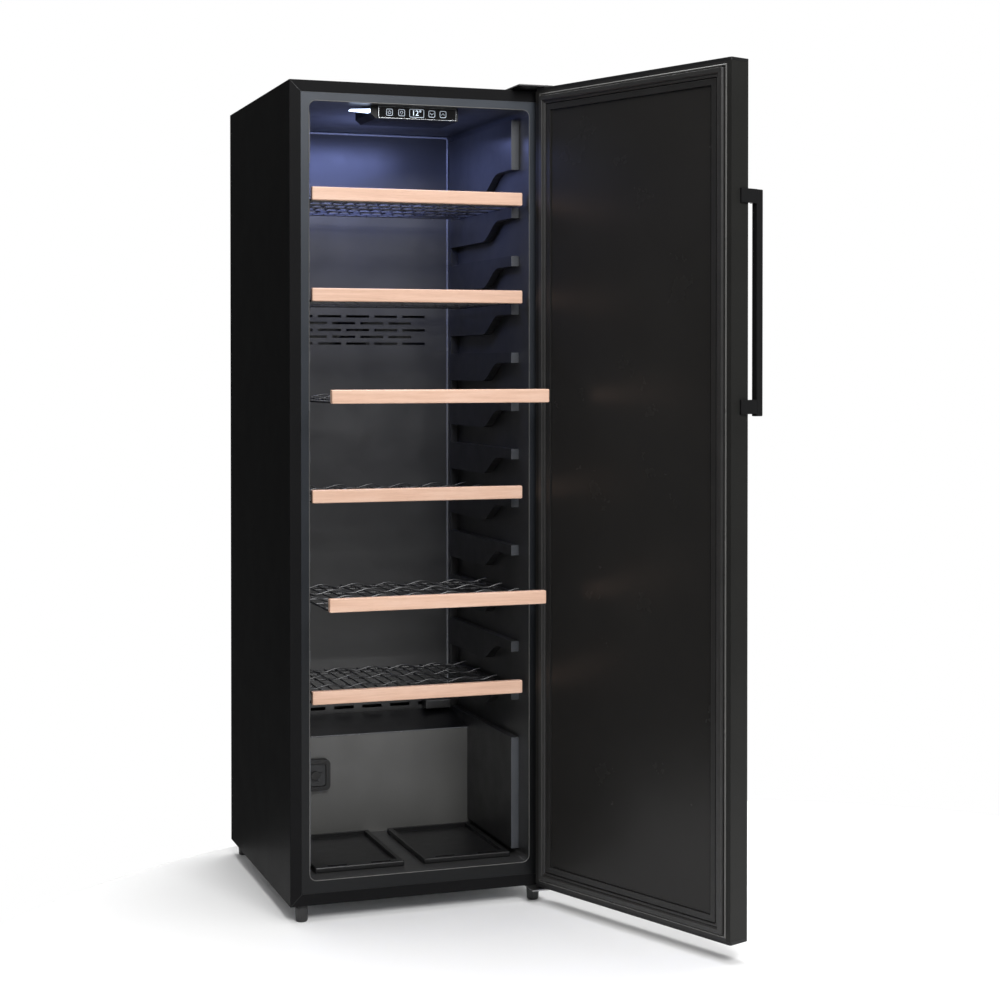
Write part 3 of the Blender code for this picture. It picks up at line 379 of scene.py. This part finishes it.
LOOKS = {
    "outer_shell": "shell", "machine_cover": "shell", "door_skin": "door",
    "back_panel": "galvanised", "base_pan": "galvanised", "compressor_plate": "galvanised",
    "insulation_foam": "foam", "door_foam": "foam", "inner_liner": "liner",
    "shelf_rails_left": "rail", "shelf_rails_right": "rail", "air_duct_cover": "liner",
    "sensor_housing": "liner", "door_liner": "border", "door_gasket": "gasket",
    "door_top_cap": "cap", "door_bottom_cap": "cap", "upper_hinge_cover": "cap",
    "control_housing": "cap", "terminal_box": "cap", "control_panel": "gloss",
    "key_power": "key", "key_light": "key", "key_down": "key", "key_up": "key",
    "lamp_lens": "lamp", "carbon_filter": "filter", "handle_bar": "handle",
    "handle_bracket_upper": "handle", "handle_bracket_lower": "handle", "upper_hinge": "zinc",
    "lower_hinge": "zinc", "hinge_bush_upper": "acetal", "hinge_bush_lower": "acetal",
    "compressor": "enamel", "condenser_coil": "enamel", "fan_motor": "enamel",
    "filter_drier": "copper", "evaporator_coil": "aluminium", "bottle_tray_left": "tray",
    "bottle_tray_right": "tray", "evaporation_tray": "tray", "fan_blade": "tray",
}


def look_of(name):
    """A node's look; what has none of its own is a small black moulding, as the feet are."""
    for start, look in (("shelf_front", "wood"), ("shelf_rack", "wire")):
        if name.startswith(start):
            return look
    return LOOKS.get(name, "foot")


for name, item in frame["nodes"].items():
    item.data.materials.clear()
    item.data.materials.append(M[look_of(name)])


# ------------------------------------------------------------------ piece kit

SHARP = math.radians(38)
WELD = 1e-6  # points closer than this are one


def piece(name, bm, look, body, replaces=(), matrix=None):
    """Give a mesh to the cooler, on one of its bodies."""
    if matrix:
        bmesh.ops.transform(bm, matrix=matrix, verts=bm.verts)
    bmesh.ops.recalc_face_normals(bm, faces=bm.faces)
    for face in bm.faces:
        face.smooth = True
    for edge in bm.edges:
        if len(edge.link_faces) == 2 and edge.calc_face_angle(0.0) > SHARP:
            edge.smooth = False
    mesh = bpy.data.meshes.new(name)
    bm.to_mesh(mesh)
    bm.free()
    mesh.materials.append(M[look])
    made = bpy.data.objects.new(name, mesh)
    SCENE.collection.objects.link(made)
    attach(made, body)
    if replaces:
        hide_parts(*replaces)


def put_box(bm, low, high):
    low, high = Vector(low), Vector(high)
    there = Matrix.Translation((low + high) / 2) @ Matrix.Diagonal((*(high - low), 1.0))
    return bmesh.ops.create_cube(bm, size=1.0, matrix=there)["verts"]


def put_disc(bm, at, radius, length, axis="Z", sides=24, top=None):
    """A round head that starts at a point; top is its far end's radius."""
    turn = Matrix.Rotation(-math.pi / 2, 4, "X") if axis == "Y" else Matrix.Identity(4)
    there = Matrix.Translation(at) @ turn @ Matrix.Translation((0, 0, length / 2))
    bmesh.ops.create_cone(
        bm, cap_ends=True, segments=sides, radius1=radius,
        radius2=radius if top is None else top, depth=length, matrix=there,
    )


def put_ring(bm, low, high, profile):
    """A mitred frame round a rectangle in X and Z: the profile is (inset, y)."""
    corners = [(low[0], low[1], 1, 1), (high[0], low[1], -1, 1),
               (high[0], high[1], -1, -1), (low[0], high[1], 1, -1)]
    rows = []
    for x, z, across, up in corners:
        rows.append([bm.verts.new((x + across * inset, y, z + up * inset))
                     for inset, y in profile])
    join_rows(bm, rows + rows[:1])


def join_rows(bm, rows):
    """Skin closed rows of points with four-sided faces."""
    count = len(rows[0])
    for first, second in zip(rows, rows[1:]):
        for index in range(count):
            after = (index + 1) % count
            bm.faces.new((first[index], first[after], second[after], second[index]))


def tubes(paths, radius, closed=False, resolution=2):
    """Round wires along lists of points."""
    curve = bpy.data.curves.new("wires", "CURVE")
    curve.dimensions = "3D"
    curve.bevel_depth = radius
    curve.bevel_resolution = resolution
    curve.use_fill_caps = True
    for path in paths:
        spline = curve.splines.new("POLY")
        spline.points.add(len(path) - 1)
        for point, where in zip(spline.points, path):
            point.co = (*where, 1.0)
        spline.use_cyclic_u = closed
    return curve_mesh(curve)


def curve_mesh(curve):
    holder = bpy.data.objects.new("holder", curve)
    SCENE.collection.objects.link(holder)
    mesh = bpy.data.meshes.new_from_object(
        holder.evaluated_get(bpy.context.evaluated_depsgraph_get()))
    bpy.data.objects.remove(holder)
    bm = bmesh.new()
    bm.from_mesh(mesh)
    bmesh.ops.remove_doubles(bm, verts=bm.verts, dist=WELD)
    return bm


def join(bm, other):
    """Add one mesh to another."""
    holder = bpy.data.meshes.new("part")
    other.to_mesh(holder)
    other.free()
    bm.from_mesh(holder)


def arc(centre, radius, start, stop, steps):
    """Points on an arc in X and Z."""
    points = []
    for step in range(steps + 1):
        angle = start + (stop - start) * step / steps
        points.append((centre[0] + radius * math.cos(angle), centre[1],
                       centre[2] + radius * math.sin(angle)))
    return points


def rounded_path(low, high, radius, y, steps=5):
    """A rectangle with round corners in X and Z."""
    path = []
    places = [(high[0] - radius, high[1] - radius), (low[0] + radius, high[1] - radius),
              (low[0] + radius, low[1] + radius), (high[0] - radius, low[1] + radius)]
    for quarter, (x, z) in enumerate(places):
        start = quarter * math.pi / 2
        path += arc((x, y, z), radius, start, start + math.pi / 2, steps)
    return path


def evenly(first, last, count):
    """Evenly spaced values, with both ends."""
    return [first + (last - first) * index / (count - 1) for index in range(count)]


# ------------------------------------------------------------------ the door


def build_door_trim():
    """The seal's bellows, a bead round the liner painted pale as a painted highlight, and the glossy
    inner panel.
    """
    back = -DOOR_GAP
    # Outlines round the closed door: how far in from its edge, and where in Y.
    seal = [
        (0.0190, back + 0.0003), (0.0190, -0.0062), (0.0202, -0.0046), (0.0192, -0.0026),
        (0.0200, -0.0010), (0.0285, -0.0010), (0.0297, -0.0022), (0.0297, -0.0046),
        (0.0312, -0.0060), (0.0330, -0.0048), (0.0352, -0.0046), (0.0368, -0.0062),
        (0.0370, back + 0.0003),
    ]
    bead = [(0.0125, back), (0.0128, back + 0.0014), (0.0138, back + 0.0022),
            (0.0152, back + 0.0022), (0.0162, back + 0.0014), (0.0165, back)]
    low, high = (0, DOOR_LOW), (WIDTH, DOOR_HIGH)
    bm = bmesh.new()
    put_ring(bm, low, high, seal)
    piece("door_seal", bm, "gasket", "door", ["door_gasket"], DOOR_PLACE)
    bm = bmesh.new()
    put_ring(bm, low, high, bead)
    piece("liner_bead", bm, "bead", "door", matrix=DOOR_PLACE)

    edge, bend, raise_by, soften = 0.0545, 0.006, 0.0012, 0.0008
    path = rounded_path((edge, DOOR_LOW + edge), (WIDTH - edge, DOOR_HIGH - edge), bend, back)
    bm = bmesh.new()
    face = bm.faces.new([bm.verts.new(point) for point in path])
    raised = bmesh.ops.extrude_face_region(bm, geom=[face])["geom"]
    top = [item for item in raised if isinstance(item, bmesh.types.BMVert)]
    bmesh.ops.translate(bm, vec=(0, raise_by, 0), verts=top)
    rim = [e for e in bm.edges if all(v in top for v in e.verts)]
    bmesh.ops.bevel(bm, geom=rim, offset=soften, segments=2, affect="EDGES")
    piece("inner_panel_face", bm, "panel", "door", matrix=DOOR_PLACE)


# ------------------------------------------------------------------ the chamber


def build_racks():
    """Wire shelves: a round frame, wires along it, and waves that cradle bottles."""
    frame_radius, wire, thin = 0.0025, 0.0019, 0.0016
    bend, bend_steps = 0.012, 4
    rows, bars, bottles = 5, 17, 6
    wave_places = (0.10, 0.37, 0.64, 0.91)
    wave_lift, wave_swing, wave_steps = 0.0075, 0.0042, bottles * 8
    for number in range(1, 7):
        low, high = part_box(f"shelf_rack_{number}")
        x0, x1 = low.x + frame_radius, high.x - frame_radius
        y0, y1 = low.y + frame_radius, high.y - frame_radius
        z = low.z + frame_radius
        corners = [(x1 - bend, y1 - bend), (x0 + bend, y1 - bend),
                   (x0 + bend, y0 + bend), (x1 - bend, y0 + bend)]
        ring = []
        for quarter, (x, y) in enumerate(corners):
            for step in range(bend_steps + 1):
                angle = (quarter + step / bend_steps) * math.pi / 2
                ring.append((x + bend * math.cos(angle), y + bend * math.sin(angle), z))
        bm = tubes([ring], frame_radius, closed=True)
        across = [y0 + (y1 - y0) * (row + 0.5) / rows for row in range(rows)]
        join(bm, tubes([[(x0, y, z), (x1, y, z)] for y in across], wire))
        upper = z + wire + thin
        lengths = [x0 + (x1 - x0) * (bar + 1) / (bars + 1) for bar in range(bars)]
        join(bm, tubes([[(x, y0, upper), (x, y1, upper)] for x in lengths], thin, resolution=1))
        waves = []
        for place in wave_places:
            y = y0 + (y1 - y0) * place
            wave = []
            for step in range(wave_steps + 1):
                swing = wave_swing * math.cos(2 * math.pi * bottles * step / wave_steps)
                wave.append((x0 + (x1 - x0) * step / wave_steps, y, z + wave_lift + swing))
            waves.append(wave)
        join(bm, tubes(waves, wire))
        piece(f"rack_wires_{number}", bm, "wire", f"shelf_{number}",
              [f"shelf_rack_{number}"])


def printed_frame(centre_x, centre_z, half_x, half_z, y):
    """A thin printed line round a key or the display."""
    bend, stroke = 0.0028, 0.00055
    path = rounded_path((centre_x - half_x, centre_z - half_z),
                        (centre_x + half_x, centre_z + half_z), bend, y)
    return tubes([path], stroke, closed=True, resolution=1)


def chevron(x, y, z, way):
    """An arrow mark that points up, or down with a way of -1."""
    wing, tail, tip = 0.0036, 0.0018, 0.0022
    return [(x - wing, y, z - way * tail), (x, y, z + way * tip), (x + wing, y, z - way * tail)]


def symbol(name, x, y, z):
    """The lines of a key's mark."""
    if name == "power":
        ring = arc((x, y, z), 0.0034, math.radians(125), math.radians(415), 14)
        return [ring, [(x, y, z + 0.0010), (x, y, z + 0.0046)]]
    if name == "light":
        bulb = arc((x, y, z + 0.0008), 0.0028, math.radians(-55), math.radians(235), 14)
        return [bulb, [(x - 0.0012, y, z - 0.0030), (x + 0.0012, y, z - 0.0030)]]
    return [chevron(x, y, z, 1 if name == "up" else -1)]


def build_controls():
    """The control panel's bright edge, key outlines, symbols and display."""
    low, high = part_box("control_panel")
    front = low.y
    middle_z = (low.z + high.z) / 2
    inset, line, proud, slant = 0.0008, 0.0013, 0.0003, 0.0002
    bm = bmesh.new()
    put_ring(bm, (low.x + inset, low.z + inset), (high.x - inset, high.z - inset),
             [(0, front), (slant, front - proud), (line, front - proud), (line, front)])
    piece("panel_trim", bm, "chrome", "cabinet")

    key_half, symbol_stroke, lift = 0.0070, 0.00045, 0.0001
    for name in ("power", "light", "down", "up"):
        key_low, key_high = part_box(f"key_{name}")
        x = (key_low.x + key_high.x) / 2
        y = key_low.y - lift
        bm = printed_frame(x, middle_z, key_half, key_half, y)
        join(bm, tubes(symbol(name, x, y, middle_z), symbol_stroke, resolution=1))
        piece(f"print_{name}", bm, "print", f"key_{name}_body")

    display_x = (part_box("key_light")[1].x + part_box("key_down")[0].x) / 2
    display_half = (0.0165, 0.0088)
    bm = printed_frame(display_x, middle_z, *display_half, front - lift)
    piece("print_display", bm, "print", "cabinet")
    text = bpy.data.curves.new("digits", "FONT")
    text.body = "12°"
    text.size = 0.0165
    text.align_x = "CENTER"
    text.align_y = "CENTER"
    text.extrude = lift
    text.resolution_u = 3
    stand = Matrix.Translation((display_x, front - 2 * lift, middle_z)) @ Matrix.Rotation(
        math.pi / 2, 4, "X")
    piece("digits", curve_mesh(text), "digit", "cabinet", matrix=stand)


def foot_relief(finish, side):
    """How far a foot's surface stands out at one of its sides."""
    rib, notch = 0.0005, 0.0018
    if finish == "ribbed":
        return rib if side % 4 < 2 else -rib
    if finish == "notched" and side % 8 < 3:
        return -notch
    return 0.0


def build_feet():
    """Feet: a ribbed body, a notched collar and a stud."""
    sides = 48
    profile = [
        (0.0, 0.0, "plain"), (0.0108, 0.0, "plain"), (0.0122, 0.0012, "plain"),
        (0.0127, 0.0035, "ribbed"), (0.0136, 0.0200, "ribbed"), (0.0141, 0.0290, "ribbed"),
        (0.0134, 0.0312, "plain"), (0.0112, 0.0316, "plain"), (0.0112, 0.0330, "plain"),
        (0.0128, 0.0334, "notched"), (0.0128, 0.0357, "notched"), (0.0040, 0.0357, "plain"),
        (0.0040, 0.0448, "plain"), (0.0, 0.0448, "plain"),
    ]
    for name in ("front_left", "front_right", "rear_left", "rear_right"):
        low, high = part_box(f"foot_{name}")
        bm = bmesh.new()
        rows = []
        for radius, height, finish in profile:
            row = []
            for side in range(sides):
                angle = 2 * math.pi * side / sides
                reach = radius + foot_relief(finish, side)
                row.append(bm.verts.new((reach * math.cos(angle), reach * math.sin(angle),
                                         height)))
            rows.append(row)
        join_rows(bm, rows)
        bmesh.ops.remove_doubles(bm, verts=bm.verts, dist=WELD)
        place = Matrix.Translation(((low.x + high.x) / 2, (low.y + high.y) / 2, low.z))
        piece(f"foot_moulding_{name}", bm, "foot", f"foot_{name}_body",
              [f"foot_{name}"], place)


def build_mitre_seams():
    """Seams in the corners of the shell's front frame."""
    bm = bmesh.new()
    start = 0.001
    length = FLANGE * math.sqrt(2) - 2 * start
    half_width, proud, sunk = 0.00035, 0.00012, 0.0002
    for x, z, turn in ((0, 0, 45), (WIDTH, 0, 135), (WIDTH, HEIGHT, 225), (0, HEIGHT, 315)):
        direction = math.radians(turn)
        middle_x = x + math.cos(direction) * (length / 2 + start)
        middle_z = z + math.sin(direction) * (length / 2 + start)
        verts = put_box(bm, (-length / 2, -proud, -half_width), (length / 2, sunk, half_width))
        there = Matrix.Translation((middle_x, 0, middle_z)) @ Matrix.Rotation(
            -direction, 4, "Y")
        bmesh.ops.transform(bm, matrix=there, verts=verts)
    piece("mitre_seams", bm, "foot", "cabinet", matrix=CABINET_PLACE)


def build_hinge_caps():
    """The top hinge's pin cap, and the screws of its cover."""
    low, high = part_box("upper_hinge_cover")
    bm = bmesh.new()
    put_disc(bm, (PIVOT.x, PIVOT.y, high.z - 0.0040), 0.0072, 0.0055, top=0.0066)
    put_disc(bm, (PIVOT.x, PIVOT.y, high.z + 0.0014), 0.0030, 0.0006)
    from_side, from_back = 0.018, 0.014
    for x in (low.x + from_side, high.x - from_side):
        put_disc(bm, (x, high.y - from_back, high.z - 0.0002), 0.0042, 0.0014, top=0.0030)
    piece("hinge_cover_caps", bm, "cap", "cabinet")


def build_filter_details():
    """The carbon filter's grey floor and its arrow-shaped grip."""
    low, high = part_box("carbon_filter")
    x, z = (low.x + high.x) / 2, (low.z + high.z) / 2
    floor_y = low.y + 0.0091
    half, thick = 0.0255, 0.0008
    bm = bmesh.new()
    put_box(bm, (x - half, floor_y - thick, z - half), (x + half, floor_y, z + half))
    piece("filter_insert", bm, "insert", "cabinet")
    shaft_start, shaft_end, shaft_half, grip_y = 0.016, 0.006, 0.0045, low.y + 0.0010
    bm = bmesh.new()
    put_box(bm, (x - shaft_start, grip_y, z - shaft_half),
            (x + shaft_end, floor_y - 0.0005, z + shaft_half))
    put_disc(bm, (x + shaft_end, grip_y, z), 0.0115, 0.0075, "Y", 3)
    piece("filter_arrow", bm, "filter", "cabinet")


def build_duct_beads():
    """A moulded bead round the duct cover, and a finer one round the step's face, both painted pale as
    a painted highlight.
    """
    low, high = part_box("air_duct_cover")
    radius, bend, bend_steps = 0.0026, 0.0060, 4
    y = low.y + 0.0002
    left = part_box("shelf_rails_left")[1].x + radius
    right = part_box("shelf_rails_right")[0].x - radius
    bottom, top = low.z + 0.006, high.z - 0.0030
    path = [(left, y, bottom)]
    for x, turn in ((left + bend, 2), (right - bend, 1)):
        for step in range(bend_steps + 1):
            angle = (turn - step / bend_steps) * math.pi / 2
            path.append((x + bend * math.cos(angle), y, top - bend + bend * math.sin(angle)))
    path.append((right, y, bottom))
    piece("duct_bead", tubes([path], radius), "rib", "cabinet")

    fine, cut = 0.0014, 0.004
    y, top = STEP_FRONT - 0.0004, STEP_EDGE - 0.0010
    left, right = SHELL_LOW.x + OPENING, SHELL_HIGH.x - OPENING - 0.0012
    bottom = SHELL_LOW.z + FLANGE + 0.034
    path = [(left, y, top), (right - cut, y, top), (right, y, top - cut), (right, y, bottom)]
    piece("step_bead", tubes([path], fine), "rib", "cabinet")


def build_mouth_bead():
    """The liner's rolled edge round the mouth, painted pale as a painted highlight."""
    radius, outward, bend, y = 0.0010, 0.0006, 0.0156, 0.0006
    path = rounded_path((OPENING - outward, FLANGE + SILL - outward),
                        (WIDTH - OPENING + outward, HEIGHT - OPENING + outward), bend, y)
    piece("mouth_bead", tubes([path], radius, closed=True), "bead", "cabinet",
          matrix=CABINET_PLACE)


# ------------------------------------------------------------------ the back


def build_back_details():
    """Screws, pressed ribs and a blank plate on the back."""
    low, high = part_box("back_panel")
    cover_low, cover_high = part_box("machine_cover")
    places = [(x, high.y, z) for z in evenly(low.z + 0.03, high.z - 0.03, 6)
              for x in (low.x + 0.014, high.x - 0.014)]
    places += [(x, cover_high.y, z) for z in (cover_low.z + 0.014, cover_high.z - 0.014)
               for x in evenly(cover_low.x + 0.02, cover_high.x - 0.02, 4)]
    bm = bmesh.new()
    for x, y, z in places:
        put_disc(bm, (x, y - 0.0002, z), 0.0042, 0.0020, "Y", 20, 0.0030)
    piece("back_screws", bm, "zinc", "cabinet")

    half_width, sunk, proud, from_end, soften = 0.006, 0.0004, 0.0022, 0.12, 0.0012
    bm = bmesh.new()
    for x in (low.x + 0.15, (low.x + high.x) / 2, high.x - 0.15):
        verts = put_box(bm, (x - half_width, high.y - sunk, low.z + from_end),
                        (x + half_width, high.y + proud, high.z - from_end))
        edges = {edge for vert in verts for edge in vert.link_edges}
        bmesh.ops.bevel(bm, geom=list(edges), offset=soften, segments=2, affect="EDGES")
    piece("back_ribs", bm, "galvanised", "cabinet")

    bm = bmesh.new()
    put_box(bm, (high.x - 0.125, high.y - 0.0002, low.z + 0.26),
            (high.x - 0.035, high.y + 0.0004, low.z + 0.32))
    piece("blank_plate", bm, "aluminium", "cabinet")


build_door_trim()
build_racks()
build_controls()
build_feet()
build_mitre_seams()
build_hinge_caps()
build_filter_details()
build_duct_beads()
build_mouth_bead()
build_back_details()


# ------------------------------------------------------------------ studio


def build_floor():
    """A plain pale disc under the cooler and its open door."""
    radius, centre = 1.7, (0.35, -0.85, 0.0)
    mesh = bpy.data.meshes.new("floor")
    bm = bmesh.new()
    bmesh.ops.create_circle(bm, cap_ends=True, segments=96, radius=radius)
    bmesh.ops.translate(bm, vec=centre, verts=bm.verts)
    bm.to_mesh(mesh)
    bm.free()
    floor = bpy.data.objects.new("floor", mesh)
    SCENE.collection.objects.link(floor)
    mesh.materials.append(textured("floor_paint", (0.92, 0.92, 0.92), 0.7, spread=0.01, scale=2.0,
                                   grain=0, specular=0.1))


def toward(world, direction):
    """How far a ray points in a direction, from -1 to 1."""
    item = node(world, "ShaderNodeVectorMath")
    item.operation = "DOT_PRODUCT"
    item.inputs[1].default_value = direction
    link(world, node(world, "ShaderNodeTexCoord").outputs["Generated"], item.inputs[0])
    return item.outputs["Value"]


def build_world():
    """A white room, dim in front and dark at the back left, which keeps the side black."""
    world = bpy.data.worlds.new("studio")
    SCENE.world = world
    world.use_nodes = True
    back_left, back = (-0.707, 0.707, 0.0), (0.0, 1.0, 0.0)
    side = remap(world, toward(world, back_left), 1.0, 0.03, 0.66, 0.80)
    ahead = remap(world, toward(world, back), 0.14, 1.0, -0.25, 0.25)
    light = maths(world, "MULTIPLY", side, ahead)
    seen = node(world, "ShaderNodeLightPath").outputs["Is Camera Ray"]
    background = world.node_tree.nodes["Background"]
    background.inputs["Color"].default_value = (1.0, 1.0, 1.0, 1.0)
    link(world, maths(world, "MAXIMUM", light, seen), background.inputs["Strength"])


def add_lamp(name, kind, at, power, colour=(1, 1, 1)):
    data = bpy.data.lights.new(name, kind)
    data.energy = power
    data.color = colour
    made = bpy.data.objects.new(name, data)
    SCENE.collection.objects.link(made)
    made.location = at
    made.visible_camera = False
    return made


def area_light(name, at, target, size, power, colour=(1, 1, 1), size_y=None):
    made = add_lamp(name, "AREA", at, power, colour)
    made.data.size = size
    if size_y:
        made.data.shape = "RECTANGLE"
        made.data.size_y = size_y
    direction = Vector(target) - Vector(at)
    made.rotation_euler = direction.to_track_quat("-Z", "Y").to_euler()


def build_lights():
    """Soft studio lights, and the blue lamp inside the chamber."""
    area_light("key", (-0.1, -3.5, 3.3), (0.0, 0.0, 0.9), 2.0, 155.0)
    area_light("overhead", (0.3, 0.2, 3.6), (0.1, 0.0, 0.0), 2.4, 120.0)
    ceiling = HEIGHT - FLANGE
    chamber = corner(WIDTH / 2, 0.26, ceiling - 0.055)
    area_light("chamber_lamp", chamber, chamber + Vector((0, 0.08, -1)), 0.30, 2.0,
               (0.34, 0.42, 1.0), 0.20)
    bulb = add_lamp("lamp_bulb", "POINT", corner(WIDTH / 2 - 0.03, 0.27, ceiling - 0.13), 5.0,
                    (0.36, 0.45, 1.0))
    bulb.data.shadow_soft_size = 0.05
    bulb.visible_glossy = False


def build_camera():
    """The photo's point of view."""
    yaw, pitch = math.radians(-19.282), math.radians(-0.714)
    data = bpy.data.cameras.new("camera")
    data.sensor_width = 36.0
    data.lens = 69.48
    data.shift_y = -0.11
    camera = bpy.data.objects.new("camera", data)
    SCENE.collection.objects.link(camera)
    camera.location = corner(-0.948, -4.0866, 1.1747)
    camera.rotation_euler = (math.pi / 2 + pitch, 0.0, yaw)
    SCENE.camera = camera


build_floor()
build_world()
build_lights()
build_camera()
SCENE.view_settings.view_transform = "Standard"

bpy.context.view_layer.update()
